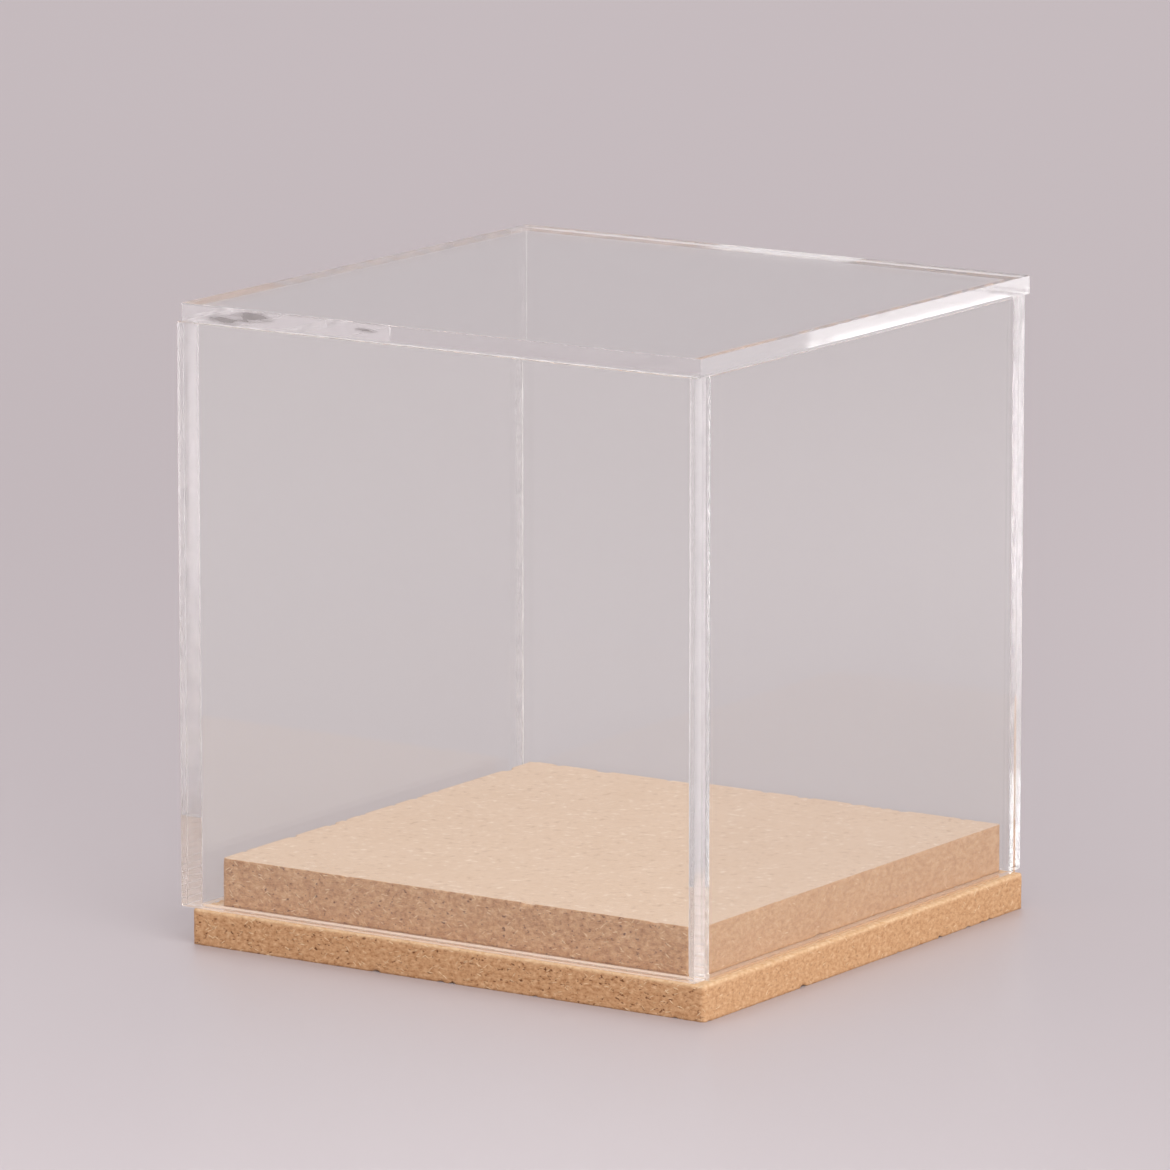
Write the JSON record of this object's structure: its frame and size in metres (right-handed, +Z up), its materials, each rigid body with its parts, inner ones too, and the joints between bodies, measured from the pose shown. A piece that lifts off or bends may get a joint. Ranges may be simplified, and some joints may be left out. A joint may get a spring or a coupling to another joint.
{
  "type": "display cube",
  "caption": "Clear acrylic display cube: an open-bottomed cover stands loose over a raised plinth on a fibreboard base plate and lifts straight off.",
  "frame": {"origin": "centre of the base plate's underside", "axes": "+Z up, -Y out of the front wall, +X out of the right wall"},
  "size_m": [0.1021, 0.101, 0.106],
  "materials": {
    "fibreboard": "raw sawn MDF",
    "clear_acrylic": "clear polished cast sheet"
  },
  "bodies": {
    "base": {"base_plate": "fibreboard", "plinth": "fibreboard"},
    "cover": {"front_wall": "clear_acrylic", "back_wall": "clear_acrylic", "left_wall": "clear_acrylic", "right_wall": "clear_acrylic", "top_panel": "clear_acrylic"}
  },
  "joints": [
    {"name": "cover_lift", "type": "slide", "parent": "base", "child": "cover", "axis": [0, 0, 1], "range_m": [0, 0.11]}
  ]
}
